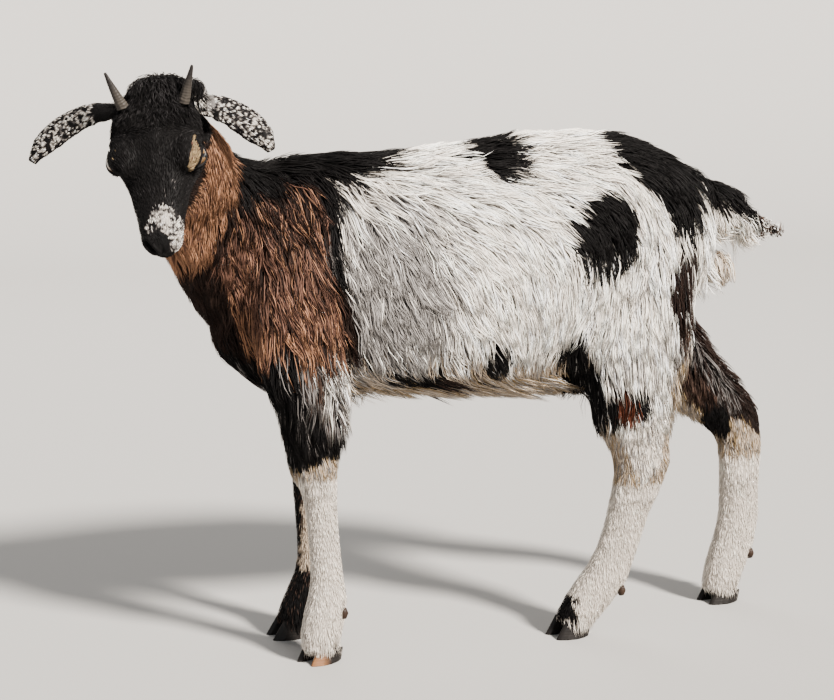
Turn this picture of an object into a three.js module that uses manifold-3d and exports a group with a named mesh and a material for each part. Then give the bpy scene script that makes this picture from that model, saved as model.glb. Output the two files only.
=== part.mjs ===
// A weanling goat kid, standing, with its head turned to its left.
// Millimetres, +Z up. The head end is at -X and the animal's left side faces -Y. Every solid
// reaches out to the tips of the coat. The flesh is modelled whole and parted with thin cuts.
import * as THREE from 'three';
import { mergeVertices } from 'three/addons/utils/BufferGeometryUtils.js';
import Module from 'manifold-3d';

const wasm = await Module();
wasm.setup();

// ---------- driving dimensions ----------
const GAP = 0.3;              // clearance between touching pieces
const WITHERS = 506;          // height of the back over the shoulder
const CROUP = 533;            // height of the back over the hips
const BRISKET = 268;          // height of the underline between the forelegs
const BELLY = 256;            // height of the underline at the middle of the belly
const BARREL_HALF = 98;       // half width of the barrel at its widest
const HEAD_LENGTH = 156;      // poll to lips
const HEAD_HALF = 45;         // half width of the head over the eyes
const EYE_RADIUS = 11.5;
const HORN = { length: 35, radius: 5.9, along: 20, across: 27, splay: 0.34, lean: 0.4, rise: 0.8 };
const EAR_THICKNESS = 6;
const CLAW = { length: 40, width: 18, height: 20, heel: 11, split: 2.6 };
const KNEE_CUT = 186;         // height where the fore cannon starts
const HOCK_CUT = 160;         // height where the hind cannon starts
const ELBOW_CUT = 300;        // height where a foreleg leaves the trunk
const STIFLE_CUT = 335;       // height where a hind leg leaves the trunk

// ---------- closed meshes and booleans ----------
function indexed(geometry) {
  const bare = geometry.clone();
  bare.deleteAttribute('normal');
  bare.deleteAttribute('uv');
  return mergeVertices(bare, 1e-3);
}

function toSolid(geometry) {
  const merged = indexed(geometry);
  return new wasm.Manifold(new wasm.Mesh({
    numProp: 3,
    vertProperties: new Float32Array(merged.attributes.position.array),
    triVerts: new Uint32Array(merged.index.array),
  }));
}

function toGeometry(solid) {
  const mesh = solid.getMesh();
  const geometry = new THREE.BufferGeometry();
  geometry.setAttribute('position', new THREE.BufferAttribute(mesh.vertProperties, 3));
  geometry.setIndex(new THREE.BufferAttribute(mesh.triVerts, 1));
  return geometry;
}

// Closes a stack of rings, each a list of the same number of Vector3, with a fan at each end.
function skinRings(rings) {
  const sides = rings[0].length;
  const points = rings.flat();
  const faces = [];
  for (let r = 0; r + 1 < rings.length; r += 1) {
    for (let s = 0; s < sides; s += 1) {
      const a = r * sides + s;
      const b = r * sides + (s + 1) % sides;
      faces.push(a, b, b + sides, a, b + sides, a + sides);
    }
  }
  const centre = (ring) => ring.reduce((sum, p) => sum.add(p), new THREE.Vector3()).divideScalar(sides);
  const first = points.push(centre(rings[0])) - 1;
  const last = points.push(centre(rings.at(-1))) - 1;
  const top = (rings.length - 1) * sides;
  for (let s = 0; s < sides; s += 1) {
    const next = (s + 1) % sides;
    faces.push(first, next, s, last, top + s, top + next);
  }
  const geometry = new THREE.BufferGeometry();
  const numbers = points.flatMap((p) => p.toArray());
  geometry.setAttribute('position', new THREE.Float32BufferAttribute(numbers, 3));
  geometry.setIndex(faces);
  return geometry;
}

// Catmull-Rom value at t in 0..1 through evenly spaced values.
function along(values, t) {
  const last = values.length - 1;
  const at = (i) => values[THREE.MathUtils.clamp(i, 0, last)];
  const i = Math.min(Math.floor(t * last), last - 1);
  const f = t * last - i;
  const [a, b, c, d] = [at(i - 1), at(i), at(i + 1), at(i + 2)];
  return b + 0.5 * f * (c - a + f * (2 * a - 5 * b + 4 * c - d + f * (3 * (b - c) + d - a)));
}

const power = (value, exponent) => Math.sign(value) * Math.abs(value) ** exponent;

// Lofts oval sections along a spine. A station is [x, y, z, up, down, half]: the spine point,
// the reach towards and away from the reference direction, and the half width across it.
function loft(stations, { rings, sides, reference, upper = 2, lower = 2 }) {
  const column = (k) => stations.map((station) => station[k]);
  const spine = (t) => new THREE.Vector3(...[0, 1, 2].map((k) => along(column(k), t)));
  const loops = [];
  for (let r = 0; r < rings; r += 1) {
    const t = r / (rings - 1);
    const [up, down, half] = [3, 4, 5].map((k) => Math.max(along(column(k), t), 0.5));
    const tangent = spine(Math.min(t + 0.01, 1)).sub(spine(Math.max(t - 0.01, 0))).normalize();
    const side = new THREE.Vector3().crossVectors(reference, tangent).normalize();
    const rise = new THREE.Vector3().crossVectors(tangent, side);
    const ring = [];
    for (let s = 0; s < sides; s += 1) {
      const angle = 2 * Math.PI * s / sides;
      const exponent = 2 / (Math.sin(angle) > 0 ? upper : lower);
      const height = power(Math.sin(angle), exponent) * (Math.sin(angle) > 0 ? up : down);
      ring.push(spine(t)
        .addScaledVector(side, half * power(Math.cos(angle), exponent))
        .addScaledVector(rise, height));
    }
    loops.push(ring);
  }
  return skinRings(loops);
}

function ellipsoid(centre, radii, detail = 8) {
  const geometry = new THREE.SphereGeometry(1, detail, Math.round(detail * 0.7));
  geometry.scale(...radii);
  geometry.translate(...centre);
  return geometry;
}

const join = (geometries) => geometries.map(toSolid).reduce((whole, piece) => whole.add(piece));

const UP = new THREE.Vector3(0, 0, 1);
const FORWARD = new THREE.Vector3(-1, 0, 0);

// ---------- materials ----------
const finish = (color, roughness) => new THREE.MeshStandardMaterial({ color, roughness, metalness: 0 });
const MATERIALS = {
  whiteCoat: finish(0xe4dcd0, 0.9),
  brownCoat: finish(0x6b4029, 0.9),
  blackCoat: finish(0x1d1a1a, 0.88),
  mottledCoat: finish(0x8a8480, 0.9),
  horn: finish(0x6f675c, 0.55),
  hoof: finish(0x3a2e25, 0.5),
  eye: finish(0x2a1c10, 0.12),
};

const root = new THREE.Group();

function place(name, geometry, material) {
  const mesh = new THREE.Mesh(geometry, MATERIALS[material]);
  mesh.name = name;
  root.add(mesh);
}

// ---------- trunk ----------
// Each row is one section of the barrel: x, height of the back, height of the underline, half width.
function trunk() {
  const widest = 0.47;        // the barrel is widest a little under half way up
  const sections = [
    [-97, WITHERS - 86, BRISKET + 51, 22],
    [-78, WITHERS - 46, BRISKET + 18, 42],
    [-38, WITHERS - 7, BRISKET - 2, 60],
    [20, WITHERS + 2, BRISKET - 4, 74],
    [85, WITHERS + 1, BELLY + 3, 88],
    [150, WITHERS + 8, BELLY, BARREL_HALF],
    [215, CROUP - 12, BELLY - 4, BARREL_HALF],
    [275, CROUP - 2, BELLY + 4, BARREL_HALF - 8],
    [330, CROUP - 3, BELLY + 42, 80],
    [372, CROUP - 18, BELLY + 72, 71],
    [402, CROUP - 38, BELLY + 98, 56],
    [424, CROUP - 66, BELLY + 126, 34],
  ];
  const stations = sections.map(([x, back, under, half]) => {
    const middle = under + widest * (back - under);
    return [x, 0, middle, back - middle, middle - under, half];
  });
  return loft(stations, { rings: 19, sides: 22, reference: UP, upper: 1.9, lower: 2.2 });
}

// ---------- neck ----------
const NECK_STATIONS = [
  [-14, 0, 408, 84, 122, 58],
  [-62, -6, 436, 70, 98, 52],
  [-97, -24, 465, 54, 78, 46],
  [-121, -49, 494, 46, 60, 41],
  [-138, -74, 522, 40, 46, 37],
];

// ---------- head ----------
// The head is shaped in its own frame: x towards the lips, y to the animal's left, z out of the
// forehead, with the origin at the poll. This matrix sets the frame on the neck.
const HEAD_TURN = THREE.MathUtils.degToRad(-13);
const HEAD_PITCH = THREE.MathUtils.degToRad(46);
const HEAD_TILT = THREE.MathUtils.degToRad(5);
const POLL = new THREE.Vector3(-157, -92, 570);

function headMatrix() {
  const out = new THREE.Vector3(Math.sin(HEAD_TURN), -Math.cos(HEAD_TURN), 0);
  const level = Math.cos(HEAD_PITCH);
  const steep = Math.sin(HEAD_PITCH);
  const muzzle = out.clone().multiplyScalar(level).addScaledVector(UP, -steep);
  const brow = out.clone().multiplyScalar(steep).addScaledVector(UP, level);
  const left = new THREE.Vector3().crossVectors(brow, muzzle);
  const axes = [muzzle, left, brow].map((axis) => axis.applyAxisAngle(out, HEAD_TILT));
  return new THREE.Matrix4().makeBasis(...axes).setPosition(POLL);
}

const HEAD_FRAME = headMatrix();
const onHead = (geometry) => geometry.applyMatrix4(HEAD_FRAME);
const headPoint = (x, y, z) => new THREE.Vector3(x, y, z).applyMatrix4(HEAD_FRAME);

// Each row is one section of the skull: distance from the poll, top line, jaw line, half width.
function skull() {
  const widest = 0.66;        // the head is widest high up, across the eyes, and narrow at the jaw
  const sections = [
    [-0.13, -36, -52, 12],
    [-0.07, -14, -70, 28],
    [0.05, 0, -80, HEAD_HALF - 8],
    [0.22, 7, -86, HEAD_HALF - 4],
    [0.4, 4, -83, HEAD_HALF - 3],
    [0.55, -6, -75, HEAD_HALF - 15],
    [0.7, -15, -67, 24.5],
    [0.83, -22, -63, 21],
    [0.92, -27, -62, 19.5],
    [0.97, -33, -59, 16],
    [1, -40, -52, 9],
  ];
  const stations = sections.map(([share, top, jaw, half]) => {
    const middle = jaw + widest * (top - jaw);
    return [share * HEAD_LENGTH, 0, middle, top - middle, middle - jaw, half];
  });
  return loft(stations, { rings: 16, sides: 16, reference: UP, upper: 2.3, lower: 1.9 });
}

const EYE = { along: 73, across: 32.5, height: -12 };

function headSolid() {
  const paired = [-1, 1].flatMap((side) => [
    ellipsoid([EYE.along - 6, side * 28, -10], [25, 16.5, 15], 10),
    ellipsoid([32, side * 22, -52], [34, 18, 30]),
    ellipsoid([HEAD_LENGTH - 17, side * 8, -37], [15, 11, 12]),
  ]);
  const pollHair = [[5, 5, -2, 24, 29, 12], [-3, 33, -13, 15, 13, 13]].map(
    ([x, y, z, ...radii]) => ellipsoid([x, y, z], radii));
  const chin = ellipsoid([HEAD_LENGTH - 20, 0, -57], [14, 12, 9]);
  return join([skull(), ...paired, ...pollHair, chin].map(onHead));
}

function eyeball(side, grow) {
  const radius = EYE_RADIUS + grow;
  return onHead(ellipsoid([EYE.along, side * EYE.across, EYE.height], [radius, radius, radius], 12));
}

// A horn leans back and out from the forehead and tapers to a blunt tip.
function horn(side, grow) {
  const curl = 4;             // the tip is swept back this much more than a straight horn
  const stations = [0, 0.25, 0.5, 0.75, 1].map((t) => {
    const reach = t * (HORN.length + grow) - grow;
    const radius = HORN.radius * (1 - 0.78 * t ** 1.2) + grow;
    const back = HORN.along - HORN.lean * reach - curl * t * t;
    return [back, side * (HORN.across + HORN.splay * reach), HORN.rise * reach, radius, radius, radius];
  });
  return onHead(loft(stations, { rings: 6, sides: 8, reference: FORWARD }));
}

// ---------- ears ----------
const EARS = {
  left: { drop: 42, reach: 71, breadth: 1 },
  right: { drop: 46, reach: 81, breadth: 0.88 },
};

// An ear is a leaf, bowed across its width, that stands out sideways and droops to its tip.
function ear(side, { drop, reach, breadth }, grow) {
  const base = headPoint(10, side * (34 - grow), -14);
  const out = new THREE.Vector3(Math.cos(HEAD_TURN), Math.sin(HEAD_TURN), 0).multiplyScalar(side);
  const back = new THREE.Vector3(-Math.sin(HEAD_TURN), Math.cos(HEAD_TURN), 0);
  const course = [[0, 0, 0], [0.3, -0.04, 6], [0.6, -0.28, 12], [0.86, -0.66, 14], [1, -1.04, 14]];
  const centres = new THREE.CatmullRomCurve3(course.map(([share, lift, behind]) => base.clone()
    .addScaledVector(out, share * reach)
    .addScaledVector(UP, lift * drop)
    .addScaledVector(back, behind)));
  const halfWidths = [9, 12, 14, 14.5, 12, 4.5];
  const steps = 10;
  const across = 5;
  const rings = [];
  for (let r = 0; r <= steps; r += 1) {
    const t = r / steps;
    const half = breadth * along(halfWidths, t) + grow;
    const tangent = centres.getTangent(t);
    const face = back.clone().negate().addScaledVector(UP, 0.55).normalize();
    const width = new THREE.Vector3().crossVectors(tangent, face).normalize();
    const outward = new THREE.Vector3().crossVectors(width, tangent).normalize();
    const row = (sign) => Array.from({ length: across }, (_, k) => {
      const share = 2 * k / (across - 1) - 1;
      const thick = EAR_THICKNESS * (0.5 + 0.5 * (1 - share ** 4)) / 2 + grow;
      const bow = -0.42 * half * share * share;
      return centres.getPoint(t)
        .addScaledVector(width, half * share)
        .addScaledVector(outward, bow + sign * thick);
    });
    rings.push([...row(1), ...row(-1).reverse()]);
  }
  return skinRings(rings);
}

// ---------- legs ----------
// Stations run from the shoulder or hip down to the hoof: x, y, z, reach forward, reach back,
// half width.
const LEGS = {
  fore_left: {
    foot: { x: 2, y: -46, turn: -30 },
    stations: [
      [-8, -34, 436, 34, 36, 22],
      [-16, -47, 388, 47, 47, 30],
      [-18, -53, 335, 50, 52, 33],
      [-4, -53, 290, 46, 37, 30],
      [1, -50, 252, 33, 27, 26],
      [2, -48, 222, 31, 23, 23],
      [2, -47, 200, 30, 22, 22],
      [6, -46, 174, 20, 17, 17],
      [8, -46, 145, 18, 15, 15],
      [10, -46, 112, 17, 15.5, 14.5],
      [12, -45, 82, 18, 17, 15],
      [11, -45, 58, 21, 22, 19],
      [5, -46, 36, 21, 23, 20],
      [2, -46, 12, 17, 19, 19],
    ],
  },
  fore_right: {
    foot: { x: -12, y: 38, turn: -8 },
    stations: [
      [-8, 34, 436, 34, 36, 22],
      [-14, 47, 388, 46, 47, 30],
      [-12, 53, 335, 46, 50, 33],
      [6, 52, 290, 38, 42, 30],
      [12, 48, 252, 30, 33, 26],
      [13, 45, 222, 27, 27, 24],
      [13, 43, 200, 26, 24, 22],
      [14, 42, 174, 19, 20, 17],
      [14, 41, 145, 18, 18, 16],
      [15, 40, 112, 16, 17, 14.5],
      [17, 39, 82, 18, 17, 15],
      [14, 38, 58, 20, 21, 19],
      [3, 38, 36, 20, 22, 20],
      [-7, 38, 12, 17, 19, 19],
    ],
  },
  hind_left: {
    foot: { x: 268, y: -40, turn: -14 },
    stations: [
      [378, -28, 462, 34, 26, 20],
      [364, -42, 414, 54, 42, 31],
      [346, -50, 365, 66, 53, 36],
      [328, -55, 318, 62, 64, 34],
      [324, -56, 276, 52, 56, 31],
      [330, -55, 240, 42, 44, 27],
      [337, -54, 208, 33, 35, 23],
      [341, -53, 178, 29, 33, 21],
      [333, -51, 148, 24, 26, 18],
      [325, -49, 116, 21, 24, 16],
      [315, -46, 84, 20, 25, 16],
      [304, -43, 56, 23, 26, 19],
      [288, -41, 36, 22, 22, 20],
      [273, -40, 12, 18, 19, 19],
    ],
  },
  hind_right: {
    foot: { x: 469, y: 27, turn: -16 },
    stations: [
      [376, 28, 462, 34, 26, 20],
      [372, 42, 414, 52, 42, 31],
      [378, 49, 365, 58, 50, 36],
      [392, 49, 320, 55, 46, 33],
      [414, 46, 286, 48, 37, 29],
      [440, 42, 256, 41, 32, 25],
      [468, 38, 226, 35, 31, 22],
      [490, 34, 196, 29, 29, 20],
      [493, 31, 164, 25, 25, 18],
      [492, 30, 130, 23, 24, 17],
      [491, 29, 96, 22, 26, 17],
      [486, 28, 62, 24, 24, 19],
      [477, 27, 38, 24, 22, 20],
      [471, 27, 12, 19, 18, 19],
    ],
  },
};

const legLoft = (leg) => loft(leg.stations, { rings: 18, sides: 12, reference: FORWARD });

// Puts a shape made round the middle of a foot, toes towards -X, on a leg's own foot.
function onFoot(geometry, foot) {
  geometry.rotateZ(THREE.MathUtils.degToRad(-foot.turn));
  geometry.translate(foot.x, foot.y, 0);
  return geometry;
}

// One claw of a cloven hoof: a flat sole with a straight inner wall, narrowing to the coronet.
function claw(side, grow) {
  const steps = 12;
  const levels = [0, 0.5, 1];
  const rings = levels.map((level) => Array.from({ length: steps }, (_, s) => {
    const angle = -side * 2 * Math.PI * s / steps;
    const lengthwise = Math.cos(angle);
    const shrink = 1 - 0.24 * level;
    const pointed = lengthwise > 0 ? 1 - 0.45 * lengthwise ** 2 : 1 - 0.12 * lengthwise ** 2;
    const across = Math.sin(angle) > 0 ? Math.sin(angle) : 0.72 * power(Math.sin(angle), 0.35);
    const x = -(CLAW.length / 2 * shrink + grow) * lengthwise + 8 * level;
    const middle = (CLAW.width + CLAW.split) / 2;
    const y = side * (middle + (CLAW.width / 2 * shrink + grow) * across * pointed);
    const height = THREE.MathUtils.lerp(CLAW.heel, CLAW.height, (lengthwise + 1) / 2);
    return new THREE.Vector3(x, y, level * (height + grow));
  }));
  return skinRings(rings);
}

// A dewclaw is a small nub low on the back of the fetlock, one on each side of the middle.
function dewclaw(side, leg, grow) {
  const [x, y, z, , behind, half] = leg.stations.at(-3);
  const geometry = ellipsoid([0, 0, 0], [5, 4.5, 7].map((radius) => radius + grow), 6);
  geometry.translate(x + behind - 7, y + side * (half - 9), z - 9);
  return geometry;
}

// ---------- tail ----------
const TAIL_STATIONS = [
  [392, 0, 466, 20, 34, 18],
  [432, 0, 458, 19, 46, 25],
  [460, 0, 442, 14, 42, 22],
  [482, 0, 427, 9, 26, 14],
  [500, 0, 417, 5, 12, 7],
  [515, 0, 411, 2.5, 3, 2.5],
];

// ---------- breech ----------
// The soft mound under the tail, between the thighs.
const breech = () => ellipsoid([441, 8, 376], [29, 31, 25]);

// ---------- the whole body, then its parts ----------
const SIDES = { left: 1, right: -1 };       // across the head, where y runs to the animal's left
const lofts = [
  loft(NECK_STATIONS, { rings: 9, sides: 18, reference: UP }),
  loft(TAIL_STATIONS, { rings: 8, sides: 12, reference: UP }),
  ...Object.values(LEGS).map(legLoft),
];
let flesh = join([trunk(), breech(), ...lofts]).add(headSolid());

// Sets a horny or glassy piece into the flesh, in a socket that clears it all round.
function setIn(name, make, material) {
  flesh = flesh.subtract(toSolid(make(GAP)));
  place(name, make(0), material);
}

for (const [word, side] of Object.entries(SIDES)) {
  setIn(`horn_${word}`, (grow) => horn(side, grow), 'horn');
  setIn(`eye_${word}`, (grow) => eyeball(side, grow), 'eye');
}
for (const [word, droop] of Object.entries(EARS)) {
  setIn(`ear_${word}`, (grow) => ear(SIDES[word], droop, grow), 'mottledCoat');
}
for (const [name, leg] of Object.entries(LEGS)) {
  const outward = Math.sign(leg.foot.y);
  for (const [word, side] of Object.entries({ outer: outward, inner: -outward })) {
    setIn(`claw_${name}_${word}`, (grow) => onFoot(claw(side, grow), leg.foot), 'hoof');
    setIn(`dewclaw_${name}_${word}`, (grow) => dewclaw(side, leg, grow), 'hoof');
  }
}

// Takes what a cutter holds out of the flesh as a part, and leaves a thin gap round it.
function part(name, material, cutter) {
  place(name, toGeometry(flesh.intersect(join(cutter(0)))), material);
  flesh = flesh.subtract(join(cutter(GAP)));
}

// The blocks round the parts at the two ends of the body. The head's is set in the head's frame.
const BLOCKS = {
  head: { centre: [72, 0, 0], size: [220, 124, 180], tilt: -0.4 },
  neck: { centre: [-210, -40, 450], size: [300, 300, 300], tilt: 0.26 },
  tail: { centre: [488, 0, 454.5], size: [120, 80, 107], tilt: 0 },
};

function block({ centre, size, tilt }, grow) {
  const geometry = new THREE.BoxGeometry(...size.map((length) => length + 2 * grow));
  geometry.rotateY(tilt);
  geometry.translate(...centre);
  return geometry;
}

part('head', 'blackCoat', (grow) => [onHead(block(BLOCKS.head, grow))]);
part('neck', 'brownCoat', (grow) => [block(BLOCKS.neck, grow)]);
part('tail', 'blackCoat', (grow) => [block(BLOCKS.tail, grow)]);

// A block on one side of the body, from x to x, from height to height, and from inner outwards.
function slab(side, [from, to], [bottom, top], inner, grow) {
  const wide = 120;
  return block({
    centre: [(from + to) / 2, side * (inner + wide / 2), (bottom + top) / 2],
    size: [to - from, wide, top - bottom],
    tilt: 0,
  }, grow);
}

// A leg is parted at the knee or hock, and leaves the trunk at a flat level. Its upper cutter is
// wide below the belly, and above it no longer than the thigh or upper arm.
for (const [name, leg] of Object.entries(LEGS)) {
  const side = Math.sign(leg.foot.y);
  const [low, high] = name.startsWith('fore') ? [KNEE_CUT, ELBOW_CUT] : [HOCK_CUT, STIFLE_CUT];
  const thick = leg.stations.slice(3, 7);
  const front = thick[0][0] - thick[0][3];
  const rear = Math.max(...thick.map((station) => station[0] + station[4]));
  const clear = [front - 90, rear + 90];
  const close = [front - 4, rear + 4];
  part(`lower_${name}`, 'whiteCoat', (grow) => [slab(side, clear, [0, low], 2, grow)]);
  part(`upper_${name}`, 'whiteCoat', (grow) => [
    slab(side, clear, [low, BELLY - 6], 12, grow),
    slab(side, close, [BELLY - 30, high], 12, grow),
  ]);
}
place('trunk', toGeometry(flesh), 'whiteCoat');

// The origin is under the middle of the bounding box, on the floor.
const bounds = new THREE.Box3().setFromObject(root);
const middle = bounds.getCenter(new THREE.Vector3());
root.position.set(-middle.x, -middle.y, -bounds.min.z);

export default root;
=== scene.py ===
"""A weanling goat kid, standing, with its head turned to its left: one skin under a coat of mesh locks.

Metres, +Z up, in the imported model's frame. The head end is at -X and the animal's left side faces -Y.
"""
import contextlib
import itertools
import math

import bmesh
import bpy
import numpy as np
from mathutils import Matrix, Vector
from mathutils.bvhtree import BVHTree
from mathutils.kdtree import KDTree


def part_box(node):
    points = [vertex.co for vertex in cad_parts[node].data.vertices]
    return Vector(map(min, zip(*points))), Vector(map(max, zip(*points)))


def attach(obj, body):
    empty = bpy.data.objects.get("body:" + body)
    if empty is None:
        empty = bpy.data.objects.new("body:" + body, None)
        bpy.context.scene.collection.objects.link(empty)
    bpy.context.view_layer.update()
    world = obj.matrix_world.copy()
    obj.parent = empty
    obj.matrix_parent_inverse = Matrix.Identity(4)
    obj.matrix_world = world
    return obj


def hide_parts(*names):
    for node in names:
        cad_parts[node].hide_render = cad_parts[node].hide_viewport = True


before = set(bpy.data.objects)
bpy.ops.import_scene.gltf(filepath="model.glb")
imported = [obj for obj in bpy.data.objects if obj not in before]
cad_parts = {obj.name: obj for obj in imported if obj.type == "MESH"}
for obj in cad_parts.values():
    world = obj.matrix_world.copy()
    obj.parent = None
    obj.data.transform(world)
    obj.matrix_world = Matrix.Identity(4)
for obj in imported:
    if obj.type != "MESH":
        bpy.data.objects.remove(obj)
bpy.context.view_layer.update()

MM = 0.001
UP = np.array([0.0, 0.0, 1.0])

# ---------- camera and light ----------
CAMERA_FROM_BARREL = (-0.577, -1.820, 0.635)  # from the floor under the barrel's middle
CAMERA_AZIMUTH = -16
CAMERA_ELEVATION = 10
LENS = 82.0  # millimetres, on a sensor 36 mm wide

# ---------- skin ----------
VOXEL = 2.0 * MM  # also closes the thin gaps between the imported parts
SMOOTH_ROUNDS = 60
SHRINK, SWELL = 0.5, 0.52  # the two strokes of a round, the second of which restores the volume
SETTLE_ROUNDS = 8  # smoothing of the skin once it has sunk under the coat
MOST_OF_ROOM = 0.32  # the skin sinks in by at most this share of the body's thickness
BODY_TRIANGLES = 0.2  # share of the triangles kept away from the head

# ---------- head, in its own frame: x to the lips, y to the animal's left, z out of the forehead ----------
HEAD_PITCH = math.radians(46)
EYE_ALONG = 73 * MM
EYE_HEIGHT = -12 * MM

LEGS = ["fore_left", "fore_right", "hind_left", "hind_right"]
FLESH = ["head", "neck", "trunk", "tail", "ear_left", "ear_right"]
FLESH += [f"{part}_{leg}" for part in ("upper", "lower") for leg in LEGS]


# ---------- small tools ----------
def unit(vectors):
    return vectors / np.maximum(np.linalg.norm(vectors, axis=-1, keepdims=True), 1e-9)


def ramp(values, start, end):
    """0 on start's side, 1 on end's side, and a smooth rise between them."""
    share = np.clip((values - start) / (end - start), 0, 1)
    return share * share * (3 - 2 * share)


def mix(first, second, share):
    return first + (second - first) * share


def bell(distance, width):
    """1 at no distance, with a soft fall to 0 over a few widths."""
    return np.exp(-(distance / width) ** 2)


def noise(points, size, seed=0):
    """Smooth noise from -1 to 1 whose features are about one size across."""
    lattice = np.asarray(points) / size + 31.7 * seed + 500
    cell = np.floor(lattice).astype(np.int64)
    inside = lattice - cell
    inside = inside * inside * (3 - 2 * inside)
    total = np.zeros(len(lattice))
    for corner in itertools.product((0, 1), repeat=3):
        x, y, z = (cell + corner).T
        spot = np.sin(x * 12.9898 + y * 78.233 + z * 37.719) * 43758.5453
        weight = np.prod(np.where(corner, inside, 1 - inside), axis=1)
        total += weight * (2 * (spot - np.floor(spot)) - 1)
    return total


def middle(node):
    low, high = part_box(node)
    return np.array((low + high) / 2)


def nearest_finder(points):
    """A function that gives, for each place, the index of the nearest of these points."""
    tree = KDTree(len(points))
    for index, point in enumerate(points.tolist()):
        tree.insert(point, index)
    tree.balance()
    return lambda places: np.array([tree.find(place)[1] for place in places.tolist()])


def adjust(thing, **fields):
    for field, value in fields.items():
        setattr(thing, field, value)


def new_mesh(name, points, faces):
    mesh = bpy.data.meshes.new(name)
    mesh.from_pydata(points, [], faces)
    mesh.shade_smooth()
    return mesh


def link(name, data):
    piece = bpy.data.objects.new(name, data)
    bpy.context.collection.objects.link(piece)
    return piece


def read(items, name, width, kind=np.float32):
    values = np.empty(len(items) * width, kind)
    items.foreach_get(name, values)
    return values.reshape(-1, width) if width > 1 else values


def paint(mesh, name, colours):
    layer = mesh.attributes.new(name, "FLOAT_COLOR", "POINT")
    rgba = np.ones((len(colours), 4), np.float32)
    rgba[:, :3] = colours
    layer.data.foreach_set("color", rgba.ravel())


# ---------- the frame's landmarks ----------
BREECH_SHIFT = 16.9 * MM  # the mound under the tail moves the middle of the trunk's box back
UNDER_BARREL = middle("trunk") * (1, 1, 0) - (BREECH_SHIFT, 0, 0)
EYES = {side: middle(f"eye_{side}") for side in ("left", "right")}
EYE_RADIUS = (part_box("eye_left")[1].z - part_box("eye_left")[0].z) / 2 / MM  # in millimetres


def on_body(points):
    """Places in millimetres: x back from the barrel's middle, y to the right and z over the floor."""
    return (points - UNDER_BARREL) / MM


ACROSS = unit(EYES["left"] - EYES["right"])
OUT = unit(np.cross(ACROSS, UP))
RISE = np.cross(OUT, ACROSS)
MUZZLE = OUT * math.cos(HEAD_PITCH) - RISE * math.sin(HEAD_PITCH)
BROW = OUT * math.sin(HEAD_PITCH) + RISE * math.cos(HEAD_PITCH)
HEAD_AXES = np.array([MUZZLE, ACROSS, BROW])
POLL = (EYES["left"] + EYES["right"]) / 2 - MUZZLE * EYE_ALONG - BROW * EYE_HEIGHT


def on_head(points):
    """Places in the head's own frame, in millimetres."""
    return (points - POLL) @ HEAD_AXES.T / MM


def from_head(local):
    return local * MM @ HEAD_AXES + POLL


# ---------- shaping the skin ----------
@contextlib.contextmanager
def editing(mesh):
    work = bmesh.new()
    work.from_mesh(mesh)
    yield work
    work.to_mesh(mesh)
    work.free()


def all_nodes():
    """One mesh of every node, in their order."""
    mesh = bpy.data.meshes.new("nodes")
    with editing(mesh) as work:
        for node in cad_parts.values():
            work.from_mesh(node.data)
    return mesh


def modified(piece, kind, **fields):
    """Turns a modifier with these fields into the piece's mesh."""
    adjust(piece.modifiers.new("shape", kind), **fields)
    graph = bpy.context.evaluated_depsgraph_get()
    mesh = bpy.data.meshes.new_from_object(piece.evaluated_get(graph))
    piece.modifiers.clear()
    piece.data = mesh
    return mesh


def keep_largest_island(mesh):
    with editing(mesh) as work:
        waiting = set(work.verts)
        islands = []
        while waiting:
            island, front = [], {waiting.pop()}
            while front:
                island += front
                linked = {edge.other_vert(vertex) for vertex in front for edge in vertex.link_edges}
                front = linked & waiting
                waiting -= front
            islands.append(island)
        strays = sum(sorted(islands, key=len)[:-1], [])
        bmesh.ops.delete(work, geom=strays, context="VERTS")


class Surface:
    """A mesh's points, normals and edges as arrays."""

    def __init__(self, mesh):
        self.mesh = mesh
        self.refresh()

    def refresh(self):
        self.mesh.update()
        self.points = read(self.mesh.vertices, "co", 3).astype(float)
        self.normals = read(self.mesh.vertex_normals, "vector", 3).astype(float)
        self.edges = read(self.mesh.edges, "vertices", 2, np.int32)
        self.valence = np.maximum(np.bincount(self.edges.ravel(), minlength=len(self.points)), 1)

    def around(self, values):
        """The mean of each vertex's neighbours."""
        first, second = self.edges.T
        count = len(self.points)
        sums = [
            np.bincount(first, column[second], count) + np.bincount(second, column[first], count)
            for column in np.atleast_2d(values.T)]
        return (np.array(sums) / self.valence).T.reshape(values.shape)

    def blurred(self, values, rounds):
        for _ in range(rounds):
            values = 0.5 * values + 0.5 * self.around(values)
        return values

    def move(self, points):
        self.mesh.vertices.foreach_set("co", np.ascontiguousarray(points, np.float32).ravel())
        self.refresh()


def rounded(surface, rounds):
    """Smooths the facets away and keeps the volume."""
    points = surface.points
    for _ in range(rounds):
        points = points + SHRINK * (surface.around(points) - points)
        points = points - SWELL * (surface.around(points) - points)
    surface.move(points)


def face_tree(mesh):
    return BVHTree.FromPolygons(
        [vertex.co for vertex in mesh.vertices], [polygon.vertices for polygon in mesh.polygons])


def kind_finder():
    """A function that tells each point's nearest kind of node: head, upper, claw and so on."""
    tree = face_tree(all_nodes())
    names = [name.split("_")[0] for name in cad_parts]
    kinds = np.repeat(names, [len(node.data.polygons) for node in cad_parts.values()])
    return lambda points: kinds[[tree.find_nearest(point)[2] for point in points.tolist()]]


kinds_of_nodes = kind_finder()


def thickness(mesh, surface):
    """How deep the body is under each vertex, straight in."""
    tree = face_tree(mesh)
    depth = np.empty(len(surface.points))
    for index, (point, normal) in enumerate(zip(surface.points, surface.normals)):
        way_in = Vector(-normal)
        hit = tree.ray_cast(Vector(point) + way_in * 0.2 * MM, way_in)
        depth[index] = hit[3] if hit[3] is not None else VOXEL
    return depth


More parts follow.
